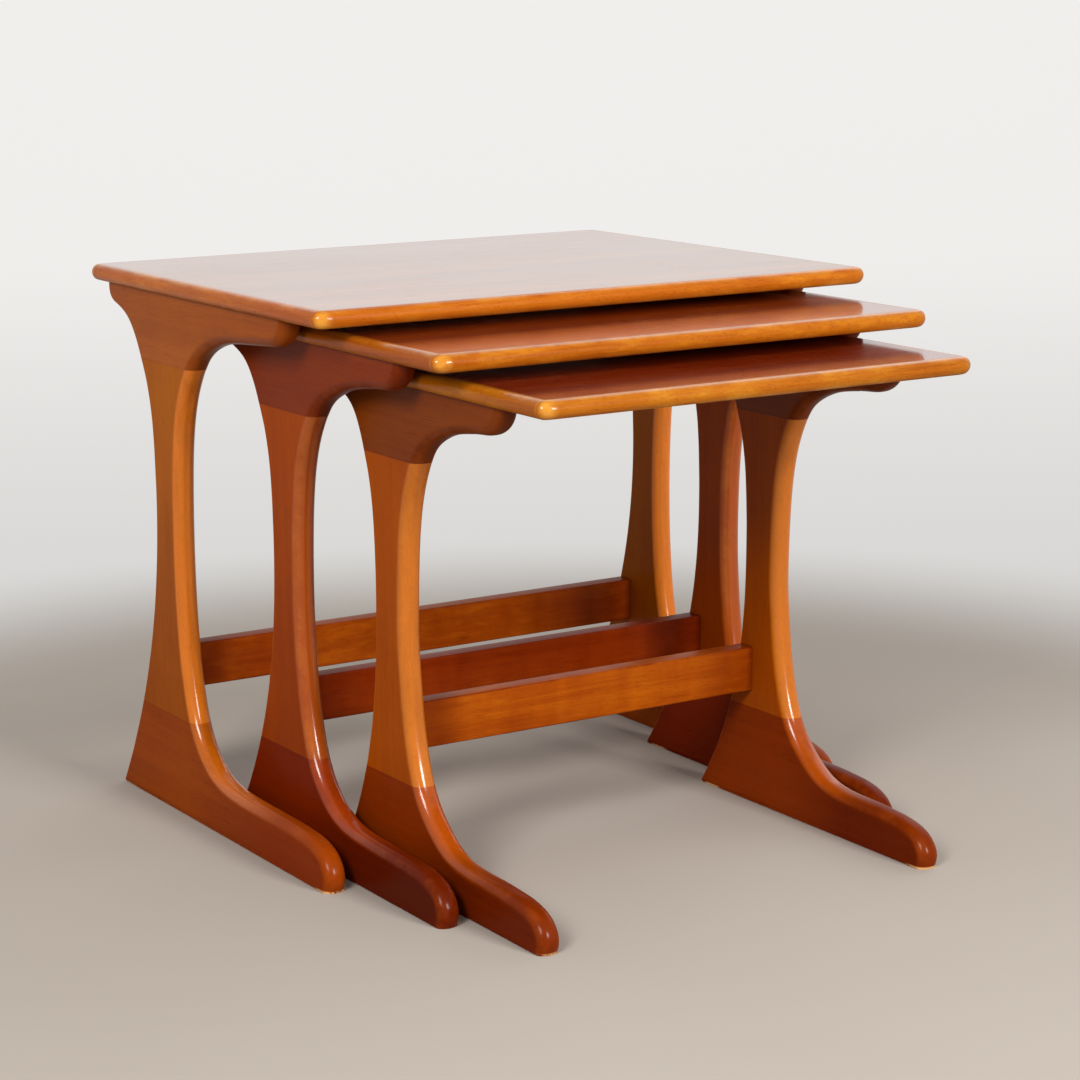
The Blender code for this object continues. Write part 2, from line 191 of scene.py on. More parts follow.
def turned(profile, base, sides=40):
    """A solid turned about the upward line through base, from (radius, height) pairs."""
    levels = []
    for radius, height in profile:
        ring = [Vector(base) + Vector((radius * math.cos(a), radius * math.sin(a), height))
                for a in (math.tau * i / sides for i in range(sides))]
        levels.append((ring, [0.0] * sides))
    return stacked(levels)


def box_mesh(low, high):
    corners = [(low[0], low[1]), (high[0], low[1]), (high[0], high[1]), (low[0], high[1])]
    return stacked([([(x, y, z) for x, y in corners], [0.0] * 4) for z in (low[2], high[2])])


def cut(obj, cutter_mesh):
    """Cut a closed mesh out of obj and bake the result into its mesh."""
    bmesh.ops.recalc_face_normals(cutter_mesh, faces=cutter_mesh.faces)
    mesh = bpy.data.meshes.new("cutter")
    cutter_mesh.to_mesh(mesh)
    cutter_mesh.free()
    cutter = bpy.data.objects.new("cutter", mesh)
    bpy.context.scene.collection.objects.link(cutter)
    boolean = obj.modifiers.new("cut", "BOOLEAN")
    boolean.object = cutter
    boolean.solver = "EXACT"
    bpy.context.view_layer.update()
    result = bpy.data.meshes.new_from_object(
        obj.evaluated_get(bpy.context.evaluated_depsgraph_get()))
    obj.modifiers.clear()
    obj.data = result
    obj.data.name = obj.name
    bpy.data.objects.remove(cutter)
    bpy.data.meshes.remove(mesh)


def smoothstep(low, high, value):
    t = min(max((value - low) / (high - low), 0.0), 1.0)
    return t * t * (3 - 2 * t)


# ---- curves -------------------------------------------------------------------------
def smooth_run(points, steps):
    """A centripetal Catmull-Rom curve through points, with steps segments per span."""
    pts = [Vector(p) for p in points]
    pts = [2 * pts[0] - pts[1]] + pts + [2 * pts[-1] - pts[-2]]
    run = []
    for p0, p1, p2, p3 in zip(pts, pts[1:], pts[2:], pts[3:]):
        t1 = (p1 - p0).length ** 0.5
        t2 = t1 + (p2 - p1).length ** 0.5
        t3 = t2 + (p3 - p2).length ** 0.5
        for i in range(steps):
            t = t1 + (t2 - t1) * i / steps
            a1 = p0.lerp(p1, t / t1)
            a2 = p1.lerp(p2, (t - t1) / (t2 - t1))
            a3 = p2.lerp(p3, (t - t2) / (t3 - t2))
            b1 = a1.lerp(a2, t / t2)
            b2 = a2.lerp(a3, (t - t1) / (t3 - t1))
            run.append(b1.lerp(b2, (t - t1) / (t2 - t1)))
    run.append(pts[-2])
    return run


def faired(run):
    """The run with evenly spaced points and its small changes of bend ironed out."""
    lengths = [(b - a).length for a, b in zip(run, run[1:])]
    count = round(sum(lengths) / OUTLINE_SPACING)
    step = sum(lengths) / count
    even, span, done = [run[0]], 0, 0.0
    for i in range(1, count):
        while done + lengths[span] < i * step:
            done += lengths[span]
            span += 1
        even.append(run[span].lerp(run[span + 1], (i * step - done) / lengths[span]))
    even.append(run[-1])
    for _ in range(FAIRING_ROUNDS):
        middle = [b.lerp((a + c) / 2, 0.5) for a, b, c in zip(even, even[1:], even[2:])]
        even = [even[0]] + middle + [even[-1]]
    return even


def inward_normals(run, inward_at_ends):
    """Unit normals along a run, kept level at both ends so that flat ends stay flat."""
    normals = []
    for before, after in zip([run[0]] + run, run[1:] + [run[-1]]):
        tangent = (after - before).normalized()
        normals.append(Vector((tangent.y, -tangent.x)))
    if normals[len(normals) // 2].x * inward_at_ends < 0:
        normals = [-n for n in normals]
    normals[0] = Vector((inward_at_ends, 0))
    normals[-1] = Vector((inward_at_ends, 0))
    return normals


# ---- side frames --------------------------------------------------------------------
def back_run(t):
    """The frame's back edge, from the top down to the heel."""
    reach = t.waist_back - t.back
    drop = [(t.back, t.under), (t.back, t.under - 8 * MM),
            (t.back + 3.5 * MM, t.under - 13.5 * MM), (t.back + 9 * MM, t.under - 17 * MM)]
    # (share of the reach from the waist back, millimetres below the top's underside)
    sweep = [(0.80, 19), (0.60, 26), (0.48, 34), (0.36, 47), (0.25, 64),
             (0.14, 84), (0.05, 113), (0.015, 140)]
    upper = drop + [(t.waist_back - share * reach, t.under - depth * MM)
                    for share, depth in sweep]
    lower = []
    for i in range(FOOT_STEPS + 1):
        below = i / FOOT_STEPS
        u = t.waist_back + (t.heel - t.waist_back) * below ** t.flare
        lower.append(Vector((u, t.waist_height * (1 - below))))
    run = faired(smooth_run(upper, CURVE_STEPS) + lower)
    return rounded_heel(run)


def rounded_heel(run):
    """The run with its last corner, on the floor, rounded off."""
    kept = [p for p in run if p.y > HEEL_ROUNDING * 1.2]
    slope = (kept[-1].x - run[-1].x) / kept[-1].y
    for i in range(HEEL_STEPS + 1):
        angle = math.pi / 2 * i / HEEL_STEPS
        z = HEEL_ROUNDING * (1 - math.sin(angle))
        kept.append(Vector((run[-1].x + slope * z + HEEL_ROUNDING * (1 - math.cos(angle)), z)))
    return kept


def front_run(t):
    """The frame's front edge, from the bracket's nose down and out to the toe."""
    reach = t.waist_back - t.back
    arm = [(t.nose, t.under), (t.nose - 2 * MM, t.under - 9 * MM),
           (t.nose - 8 * MM, t.under - 18 * MM), (t.nose - 20 * MM, t.under - 24.5 * MM),
           (t.nose - 45 * MM, t.under - 27 * MM)]
    # (share of the reach, millimetres further forward, millimetres below the underside)
    arch = [(0.92, 10, 35), (0.56, 0, 52), (0.34, 0, 72), (0.17, 0, 99), (0.06, 0, 137)]
    leg = [(t.waist_front + share * reach + more * MM, t.under - depth * MM)
           for share, more, depth in arch]
    # (millimetres forward of the waist, millimetres above the floor)
    shin = [(t.waist_front + forward * MM, height * MM) for forward, height in
            ((0, t.under / MM - 215), (2, 185), (9, 132), (23, 88), (43, 64))]
    shin.append((t.waist_front + 74 * MM, t.toe_height + 9 * MM))
    foot = [(t.toe - 62 * MM, t.toe_height + 3 * MM), (t.toe - 32 * MM, t.toe_height),
            (t.toe - 13 * MM, t.toe_height * 0.82), (t.toe - 2.5 * MM, t.toe_height * 0.52),
            (t.toe, t.toe_height * 0.22), (t.toe - 3 * MM, 0)]
    return faired(smooth_run(arm + leg + shin + foot, CURVE_STEPS))


def across_frame():
    """(distance from the face, set-backs of the front and the back, share of the rounded
    front that takes its painted colour, wear at the front and the back), from the flat face
    to the middle."""
    rows = [(0.0, FRONT_ROUNDING + FLAT_RIM, BACK_ROUNDING + FLAT_RIM, 0.0, 0.0, 0.0)]
    for i in range(ROUNDING_STEPS + 1):
        angle = math.pi / 2 * i / ROUNDING_STEPS
        depth = FRONT_ROUNDING * (1 - math.cos(angle))
        front = FRONT_ROUNDING * (1 - math.sin(angle))
        back = 0.0
        if depth < BACK_ROUNDING:
            back = BACK_ROUNDING - math.sqrt(BACK_ROUNDING ** 2 - (BACK_ROUNDING - depth) ** 2)
        rows.append((depth, front, back, smoothstep(*PAINTED_FRONT_SETS_IN, math.sin(angle)),
                     FRONT_WEAR * math.sin(2 * angle),
                     BACK_WEAR * (1 - smoothstep(*BACK_WEAR_DEPTHS, depth))))
    return rows


def frame_blank(t, side):
    """One whole side frame: its outline stacked across the thickness, edges rounded."""
    front, back = front_run(t), back_run(t)
    front_in, back_in = inward_normals(front, -1), inward_normals(back, 1)
    forward = [(p.x - t.waist_front) / (t.toe - t.waist_front) if p.y < t.foot_line else 0
               for p in front]
    half = across_frame()
    rows = half + [(t.thickness - row[0],) + row[1:] for row in reversed(half)]
    levels = []
    for depth, front_set, back_set, rounded, front_wear, back_wear in rows:
        edge = min(depth, t.thickness - depth)
        lift = SOLE_ROUNDING * (1 - smoothstep(0, SOLE_ROUNDING * 1.3, edge))
        ring = [p + n * front_set for p, n in zip(front, front_in)]
        for i, p in enumerate(ring[:NOSE_POINTS]):
            p.y = min(p.y, t.under - i * NOSE_STEP)
        ring += [p + n * back_set for p, n in reversed(list(zip(back, back_in)))]
        points = []
        for p in ring:
            z = p.y + lift * (1 - smoothstep(0, SOLE_FADE, p.y))
            points.append((side * (t.outer_x - depth), t.middle_y - p.x, z))
        # The rounded front's painted colour, most of it lost towards the toe.
        stain = [rounded * (1 - PAINTED_FRONT_LOST * smoothstep(*PAINTED_FRONT_LOSES, share))
                 for share in forward]
        levels.append((points, [front_wear] * len(front) + [back_wear] * len(back),
                       stain + [0.0] * len(back)))
    return stacked(levels)


def slice_between(bm, low, high):
    """The part of a closed mesh between two heights, its cut ends filled."""
    piece = bm.copy()
    for height, side in ((low, -1), (high, 1)):
        if height is None:
            continue
        geom = piece.verts[:] + piece.edges[:] + piece.faces[:]
        made = bmesh.ops.bisect_plane(piece, geom=geom, plane_co=(0, 0, height),
                                      plane_no=(0, 0, side), clear_outer=True,
                                      dist=CUT_TOLERANCE)
        rim = [e for e in made["geom_cut"] if isinstance(e, bmesh.types.BMEdge)]
        bmesh.ops.contextual_create(piece, geom=rim)
    return piece


def side_frame(t, side, woods):
    """Bracket, upright and foot of one side, sliced from one blank at their glue lines."""
    label = "left" if side < 0 else "right"
    blank = frame_blank(t, side)
    foot_line = t.foot_line + HALF_CAD_SEAM
    bracket_line = t.bracket_line - HALF_CAD_SEAM
    cuts = (("bracket", "dark_frame_wood", bracket_line + SEAM, None),
            ("upright", "upright_wood", foot_line + SEAM, bracket_line - SEAM),
            ("foot", "dark_frame_wood", None, foot_line - SEAM))
    made = {}
    for kind, slot, low, high in cuts:
        node = f"{t.name}_{kind}_{label}"
        made[kind] = add_piece(f"{node}_shaped", slice_between(blank, low, high),
                               woods(t, kind, label), t, slot, node)
    blank.free()
    for place in ("front", "back"):
        low, high = node_box(f"{t.name}_screw_{label}_{place}")
        centre = (low + high) / 2
        radius = (high.x - low.x) / 2 + SCREW_BORE_PLAY
        cut(made["bracket"], turned([(radius, -SCREW_BORE_DEPTH), (radius, 0)],
                                    (centre.x, centre.y, low.z + SCREW_HEAD_ROOM)))


# ---- rail, tops, screws -------------------------------------------------------------
def rail(t, mat):
    """The rail: a bar with its long edges softened, its ends hard against the frames."""
    low, high = t.rail
    reach = t.inner_x + RAIL_BITE
    outline = []
    for cy, cz, start in ((high.y, high.z, 0), (low.y, high.z, 1), (low.y, low.z, 2),
                          (high.y, low.z, 3)):
        centre_y = cy - RAIL_ROUNDING * (1 if cy == high.y else -1)
        centre_z = cz - RAIL_ROUNDING * (1 if cz == high.z else -1)
        for i in range(RAIL_ROUNDING_STEPS + 1):
            angle = math.pi / 2 * (start + i / RAIL_ROUNDING_STEPS)
            outline.append((centre_y + RAIL_ROUNDING * math.cos(angle),
                            centre_z + RAIL_ROUNDING * math.sin(angle),
                            math.sin(math.pi * i / RAIL_ROUNDING_STEPS)))
    levels = []
    for i in range(RAIL_SEGMENTS + 1):
        x = reach * (2 * i / RAIL_SEGMENTS - 1)
        levels.append(([(x, y, z) for y, z, _ in outline], [w for _, _, w in outline]))
    add_piece(f"{t.name}_rail_shaped", stacked(levels), mat, t, "rail_wood",
              f"{t.name}_rail")


def bullnose(t):
    """(height, set-back, wear) through a top's thickness."""
    half = (t.top - t.under) / 2
    rows = []
    for i in range(2 * BULLNOSE_STEPS + 1):
        angle = math.pi * (i / (2 * BULLNOSE_STEPS) - 0.5)
        rows.append((t.under + half * (1 + math.sin(angle)), half * (1 - math.cos(angle)),
                     ARRIS_WEAR * smoothstep(0.45, 0.9, abs(math.sin(angle)))))
    rim = (half + FLAT_RIM, 0.0)
    return [(t.under,) + rim] + rows + [(t.top,) + rim]


def corner_wear_and_highlight(strength):
    """How rubbed a long lipping is, from its inner edge round to its front; at the left
    corners it is also a painted highlight.
    """
    return [CORNER_START_WEAR] + [strength * math.sin(math.pi * i / CORNER_STEPS)
                                  for i in range(CORNER_STEPS + 1)]


def long_lipping(t, front, mat):
    """A full-width lipping with the top's rounded corners; front is +1 or -1."""
    inner = t.half_depth - t.lipping + SEAM
    centre = (t.half_width - CORNER_REACH[0], t.half_depth - CORNER_REACH[1])
    levels = []
    for z, inset, wear in bullnose(t):
        arc = []
        for i in range(CORNER_STEPS + 1):
            angle = math.pi / 2 * i / CORNER_STEPS
            arc.append((centre[0] + (CORNER_REACH[0] - inset) * math.cos(angle),
                        centre[1] + (CORNER_REACH[1] - inset) * math.sin(angle)))
        half = [(t.half_width - inset, inner)] + arc
        outline = half + [(-x, u) for x, u in reversed(half)]
        corners = corner_wear_and_highlight(RIGHT_CORNER_WEAR) + corner_wear_and_highlight(LEFT_CORNER_WEAR_AND_HIGHLIGHT)[::-1]
        worn = [max(wear, w) for w in corners]
        levels.append(([(x, t.middle_y - front * u, z) for x, u in outline], worn))
    label = "front" if front > 0 else "back"
    add_piece(f"{t.name}_lipping_{label}_shaped", stacked(levels), mat, t, "lipping_wood",
              f"{t.name}_lipping_{label}")


def side_lipping(t, side, mat):
    """A lipping between the front and back ones."""
    reach = t.half_depth - t.lipping - SEAM
    half = [reach - LIPPING_END[0], reach - LIPPING_END[1], reach]
    stops = [-y for y in reversed(half)] + half
    levels = []
    for z, inset, wear in bullnose(t):
        outer = side * (t.half_width - inset)
        inner = side * (t.half_width - t.lipping + SEAM)
        outline = [(outer, t.middle_y + y, z) for y in stops]
        outline += [(inner, t.middle_y + y, z) for y in reversed(stops)]
        ends = [LIPPING_END_WEAR] * 2
        levels.append((outline, ends + [wear, wear] + ends + [0.0] * 6))
    label = "left" if side < 0 else "right"
    add_piece(f"{t.name}_lipping_{label}_shaped", stacked(levels), mat, t, "lipping_wood",
              f"{t.name}_lipping_{label}")


def top_panel(t, mat):
    """The veneered board inside the lippings."""
    x = t.half_width - t.lipping - SEAM
    u = t.half_depth - t.lipping - SEAM
    levels = []
    for z, inset in ((t.under, PANEL_BREAK_BELOW), (t.under + PANEL_BREAK_BELOW, 0),
                     (t.top - PANEL_BREAK_ABOVE, 0), (t.top, PANEL_BREAK_ABOVE)):
        levels.append(([(-x + inset, t.middle_y - u + inset, z),
                        (x - inset, t.middle_y - u + inset, z),
                        (x - inset, t.middle_y + u - inset, z),
                        (-x + inset, t.middle_y + u - inset, z)], [0.0] * 4))
    add_piece(f"{t.name}_top_panel_veneered", stacked(levels), mat, t, "top_veneer",
              f"{t.name}_top_panel", sharp=20)


def screw(t, label, place, mat):
    """A round-headed slotted wood screw, seen from below in its counterbore."""
    node = f"{t.name}_screw_{label}_{place}"
    low, high = node_box(node)
    centre = (low + high) / 2
    radius = (high.x - low.x) / 2 * SCREW_HEAD_SCALE
    dome = [(SCREW_FLAT * radius, 0.0)]
    for i in range(2, DOME_STEPS + 1):
        angle = math.pi / 2 * i / DOME_STEPS
        dome.append((radius * math.sin(angle), SCREW_HEAD_RISE * (1 - math.cos(angle))))
    length = high.z - low.z
    rim = SCREW_HEAD_RISE + SCREW_HEAD_RIM
    shank = [(radius, rim), (SCREW_SHANK_RADIUS, rim + SCREW_NECK),
             (SCREW_SHANK_RADIUS, length - 2 * SCREW_SHANK_RADIUS),
             (SCREW_TIP_RADIUS, length)]
    obj = add_piece(f"{node}_slotted", turned(dome + shank, (centre.x, centre.y, low.z)),
                    mat, t, "screw_steel", node)
    half_width, half_length, depth = SCREW_SLOT
    cut(obj, box_mesh((centre.x - half_width, centre.y - half_length, low.z - 1 * MM),
                      (centre.x + half_width, centre.y + half_length, low.z + depth)))


# ---- materials ----------------------------------------------------------------------
class Shader:
    """A material's node tree, with short ways to add the nodes used here."""

    def __init__(self, name):
        self.material = bpy.data.materials.new(name)
        self.material.use_nodes = True
        self.tree = self.material.node_tree
        self.bsdf = self.tree.nodes["Principled BSDF"]

    def add(self, kind, inputs=(), **settings):
        node = self.tree.nodes.new(kind)
        for key, value in settings.items():
            setattr(node, key, value)
        for key, value in dict(inputs).items():
            self.feed(node.inputs[key], value)
        return node

    def feed(self, socket, value):
        """Link or set a socket. A colour may be given without its alpha."""
        if isinstance(value, bpy.types.NodeSocket):
            self.tree.links.new(value, socket)
            return
        if socket.type == "RGBA" and len(value) == 3:
            value = (*value, 1.0)
        socket.default_value = value

    def surface(self, **inputs):
        """Feed the shader's own sockets, by names with "_" for a space."""
        for key, value in inputs.items():
            self.feed(self.bsdf.inputs[key.replace("_", " ")], value)
        return self.material

    def math(self, operation, a, b=0.0, c=0.0, clamp=False):
        node = self.add("ShaderNodeMath", operation=operation, use_clamp=clamp)
        for socket, value in zip(node.inputs, (a, b, c)):
            self.feed(socket, value)
        return node.outputs[0]

    def product(self, *values):
        result = values[0]
        for value in values[1:]:
            result = self.math("MULTIPLY", result, value)
        return result

    def plus(self, base, a, b):
        """base + a * b"""
        return self.math("MULTIPLY_ADD", a, b, base)

    def spread(self, value, low, high, to_low=0.0, to_high=1.0, kind="SMOOTHSTEP"):
        """value carried from the range low..high to to_low..to_high."""
        node = self.add("ShaderNodeMapRange", {"Value": value, "From Min": low,
                                               "From Max": high, "To Min": to_low,
                                               "To Max": to_high}, interpolation_type=kind)
        return node.outputs[0]

    def mix(self, amount, a, b, blend="MIX"):
        node = self.add("ShaderNodeMix", data_type="RGBA", blend_type=blend)
        for socket, value in ((0, amount), (6, a), (7, b)):
            self.feed(node.inputs[socket], value)
        return node.outputs[2]

    def mix_value(self, amount, a, b):
        node = self.add("ShaderNodeMix", data_type="FLOAT")
        for socket, value in ((0, amount), (2, a), (3, b)):
            self.feed(node.inputs[socket], value)
        return node.outputs[0]

    def ramp(self, value, stops):
        node = self.add("ShaderNodeValToRGB", {"Fac": value})
        elements = node.color_ramp.elements
        while len(elements) < len(stops):
            elements.new(0.5)
        for element, (place, colour) in zip(elements, stops):
            element.position = place
            element.color = (*colour, 1.0)
        return node.outputs["Color"]

    def coordinates(self, kind="Object"):
        return self.add("ShaderNodeTexCoord").outputs[kind]

    def axis(self, vector, name):
        """One component of a vector: X, Y or Z."""
        return self.add("ShaderNodeSeparateXYZ", {0: vector}).outputs[name]

    def attribute(self, name):
        """A number kept on the mesh's points."""
        return self.add("ShaderNodeAttribute", attribute_name=name).outputs["Fac"]

    def noise(self, vector, scale, detail=2.0, roughness=0.5, output="Fac"):
        node = self.add("ShaderNodeTexNoise", {"Vector": vector, "Scale": scale,
                                               "Detail": detail, "Roughness": roughness})
        return node.outputs[output]

    def stretched(self, vector, along, across):
        """The place scaled by one number along the grain and another across it."""
        node = self.add("ShaderNodeVectorMath", {0: vector, 1: (along, across, across)},
                        operation="MULTIPLY")
        return node.outputs[0]

    def cells(self, vector, along, across, detail, roughness):
        """Noise with so many cells a metre along the grain and across it."""
        return self.noise(self.stretched(vector, along, across), 1.0, detail, roughness)

    def pattern(self, vector, along, across, detail, roughness, low, high):
        """Such noise, brought from nothing at the value low to full at high."""
        return self.spread(self.cells(vector, along, across, detail, roughness), low, high)

    def bump(self, height, strength, distance):
        node = self.add("ShaderNodeBump", {"Height": height, "Strength": strength,
                                           "Distance": distance})
        return node.outputs[0]


# What a wood can say about itself, with its value when it says nothing. Every wood also
# names the axis of its grain, three colours from dark to light, its coat of lacquer (from
# 0 to 1) and the coat's roughness. Colours are linear.
WOOD_DEFAULTS = dict(
    bands=26.0,             # growth bands a metre, across the grain
    contrast=1.0,           # of dark and light in the grain
    blotch=0.35,            # how much paler its clouds are
    ripple=0.0,             # curl across the grain
    fleck=0.0,              # strength of short dark flecks
    flame=None,             # colour of short licks along the grain
    ends=None,              # |x| where the painted shade by the frames begins, and where it is deepest
    fade=None,              # axis, start, end and tint of a darkening along it; on a foot, painted shade
    front=0.0,              # how far the rounded front takes its painted highlight (on a bracket, painted shade)
    front_colour=None,
    front_coat=0.0,         # lacquer added on the rounded front
    worn=None,              # colour where edges are rubbed, and of the painted highlight at a lipping's left corners
    wear=0.5,               # how far they take it
    edge_coat=0.0,          # lacquer added where edges are rubbed
    chips=None,             # y of the heel and of the toe of a chipped sole
    relief=1.0,             # depth of the pores and of the lacquer's waves
    roughness=0.3,
    specular=0.02,          # low: the lacquer makes the reflections
    top_coat=None)          # lacquer on upward faces; the underside is left dull

GRAIN_TURN = {"x": (0, 0, 0), "y": (0, 0, math.pi / 2), "z": (0, math.pi / 2, 0)}
# Noise: cells a metre along the grain and across it, detail, roughness.
WANDER = (1.6, 5)
CURL = (46, 9, 2.0, 0.5)
CLOUD = (9, 9, 3.0, 0.55)
SWELL = (48, 48, 2.0, 0.5)
# The same, but the cells across the grain are counted in growth bands. The last number is
# the layer's share of the grain's tone.
GROWTH = (0.9, 1, 3.0, 0.55, 0.46)
STREAKS = (3.2, 6, 4.0, 0.6, 0.34)
FIBRES = (14, 24, 3.0, 0.65, 0.20)
# Patterns: noise, and the two values of it between which the pattern sets in.
PORES = (60, 1500, 2.0, 0.6, 0.60, 0.72)
LICKS = (30, 130, 4.0, 0.65, 0.42, 0.72)
LICKED_PLACES = (9, 9, 2.0, 0.5, 0.35, 0.65)
FLECKS = (300, 850, 3.0, 0.6, 0.55, 0.68)
UNEVEN_RUBBING = (34, 34, 4.0, 0.65, 0.36, 0.66)
CHIPPED_PLACES = (6, 6, 1.0, 0.5, 0.42, 0.50)
CHIPS = (60, 60, 4.0, 0.7, 0.40, 0.48)

CLOUDY = (0.38, 0.68)           # values of CLOUD where the paler clouds set in
DULLED = (0.35, 0.70)           # values of CLOUD where the gloss falls off
PAINTED_FRONT_GRAIN = (0.36, 0.64)         # values of the grain's tone across the rounded front's painted colour
UPWARD = (0.75, 0.97)           # values of a normal's Z where the top's lacquer sets in
UNDERSIDE = (-0.9, -0.4)        # values of a normal's Z where the bare underside ends
SOLE_CHIP_HEIGHTS = (1.0 * MM, 2.6 * MM)  # all chipped, none chipped
HEEL_CHIPS = (-40 * MM, -26 * MM)  # from the heel: none, all
TOE_CHIPS = (12 * MM, 26 * MM)  # from the toe: all, none
FIBRE_HEIGHT = 0.12             # beside the wood's other relief
PORE_HEIGHT = -0.22
PORE_HEIGHT_IN_LACQUER = -0.1
SWELL_HEIGHT = 1.2
WANDER_REACH = 0.016            # how far the fibres wander, in metres
TONE_REACH = 0.16               # from the grain's middle tone to its dark and its light
PORE_DARKNESS = 0.42
FLAME_STRENGTH = 0.5
END_SHADE = (0.62, 0.45, 0.5)   # painted shade: tint of a rail's ends, by the frames
# Tint of the rounded front's painted colour where the grain is dark.
PAINTED_FRONT_GRAIN_SHADE = (0.72, 0.72, 0.72)
BARE_WOOD = (0.60, 0.33, 0.13)
BARE_ROUGHNESS = 0.4            # added where the lacquer is chipped off
FIBRE_ROUGHNESS = 0.06
CLOUD_ROUGHNESS = 0.05
UNDERSIDE_ROUGHNESS = 0.62
BODY_BUMP = 0.3
LACQUER_BUMP = 0.12
RELIEF_DEPTH = 0.12 * MM


def tinted(colour, tint):
    """The colour with each channel scaled."""
    return tuple(channel * factor for channel, factor in zip(colour, tint))


def grain_of(s, seed, look):
    """One board's figure: where its grain runs, and the patterns that follow it."""
    rng = random.Random(seed)
    place = s.coordinates()
    shift = tuple(rng.uniform(-3, 3) for _ in range(3))
    along = s.add("ShaderNodeMapping", {"Vector": place, "Location": shift,
                                        "Rotation": GRAIN_TURN[look.grain]}).outputs[0]
    wander = s.noise(s.stretched(along, *WANDER), 1.0, output="Color")
    bend = s.add("ShaderNodeVectorMath", {0: wander, 1: (0.0, WANDER_REACH, WANDER_REACH)},
                 operation="MULTIPLY").outputs[0]
    bent = s.add("ShaderNodeVectorMath", {0: along, 1: bend}, operation="ADD").outputs[0]
    tone = 0.0
    for lengthwise, across, detail, roughness, share in (GROWTH, STREAKS, FIBRES):
        layer = s.cells(bent, lengthwise, across * look.bands, detail, roughness)
        tone = s.plus(tone, layer, share)
    if look.ripple:
        tone = s.plus(tone, s.math("SUBTRACT", s.cells(along, *CURL), 0.5), look.ripple)
    return SimpleNamespace(place=place, along=along, bent=bent, tone=tone, fibres=layer,
                           pores=s.pattern(bent, *PORES), cloud=s.cells(place, *CLOUD))


def grain_colour(s, board, look):
    """The grain from dark to light, with paler clouds, dark pores and any flames."""
    reach = TONE_REACH / look.contrast
    colour = s.ramp(s.spread(board.tone, 0.5 - reach, 0.5 + reach, kind="LINEAR"),
                    [(0.0, look.dark), (0.5, look.mid), (1.0, look.light)])
    colour = s.mix(s.product(s.spread(board.cloud, *CLOUDY), look.blotch), colour,
                   look.light)
    colour = s.mix(s.product(board.pores, PORE_DARKNESS), colour, look.dark, "MULTIPLY")
    if look.flame:
        licks = s.pattern(board.bent, *LICKS)
        where = s.pattern(board.place, *LICKED_PLACES)
        colour = s.mix(s.product(licks, where, FLAME_STRENGTH), colour, look.flame)
    return colour


def darkened(s, board, look, colour):
    """Painted shade at a rail's ends, by the frames, and a leg darker along its length, which on
    a foot is painted shade.
    """
    if look.ends:
        out = s.math("ABSOLUTE", s.axis(board.place, "X"))
        colour = s.mix(s.spread(out, *look.ends), colour,
                       s.mix(1.0, colour, END_SHADE, "MULTIPLY"))
    if look.fade:
        axis, start, end, shade = look.fade
        colour = s.mix(s.spread(s.axis(board.place, axis), start, end), colour,
                       s.mix(1.0, colour, shade, "MULTIPLY"))
    return colour


def painted_front(s, board, look, colour, share):
    """The rounded front in a painted colour: a painted highlight on uprights and feet,
    painted shade on brackets; share says where it is.
    """
    front_paint = s.mix(s.spread(board.tone, *PAINTED_FRONT_GRAIN), tinted(look.front_colour, PAINTED_FRONT_GRAIN_SHADE),
                 look.front_colour)
    return s.mix(s.product(share, look.front), colour, front_paint)


def flecked(s, board, look, colour):
    """Short dark flecks along the grain."""
    dots = s.pattern(board.bent, *FLECKS)
    return s.mix(s.product(dots, look.fleck), colour, look.dark)


def edge_wear_and_highlight(s, board, look):
    """How far each edge is rubbed, unevenly; at a lipping's left corners also a painted
    highlight.
    """
    uneven = s.pattern(board.place, *UNEVEN_RUBBING)
    return s.math("MULTIPLY", s.product(s.attribute("wear"), look.wear), uneven, clamp=True)


def chipped_sole(s, board, look):
    """Where the stain is chipped off the lowest millimetres, near the heel and toe."""
    heel, toe = look.chips
    low = s.spread(s.axis(board.place, "Z"), *SOLE_CHIP_HEIGHTS, 1.0, 0.0)
    along = s.axis(board.place, "Y")
    by_heel = s.spread(along, *(heel + reach for reach in HEEL_CHIPS))
    by_toe = s.spread(along, *(toe + reach for reach in TOE_CHIPS), 1.0, 0.0)
    near_end = s.math("MAXIMUM", by_heel, by_toe)
    return s.product(low, near_end, s.pattern(board.along, *CHIPPED_PLACES),
                     s.pattern(board.place, *CHIPS))


def relief(s, board, look):
    """Normals of the wood and of its lacquer: pores sink in, fibres stand a little proud,
    and the lacquer is gently wavy."""
    swell = s.cells(board.place, *SWELL)
    body = s.plus(s.product(board.fibres, FIBRE_HEIGHT), board.pores, PORE_HEIGHT)
    body = s.plus(body, swell, SWELL_HEIGHT)
    waves = s.plus(swell, board.pores, PORE_HEIGHT_IN_LACQUER)
    return (s.bump(body, BODY_BUMP * look.relief, RELIEF_DEPTH),
            s.bump(waves, LACQUER_BUMP * look.relief, RELIEF_DEPTH))


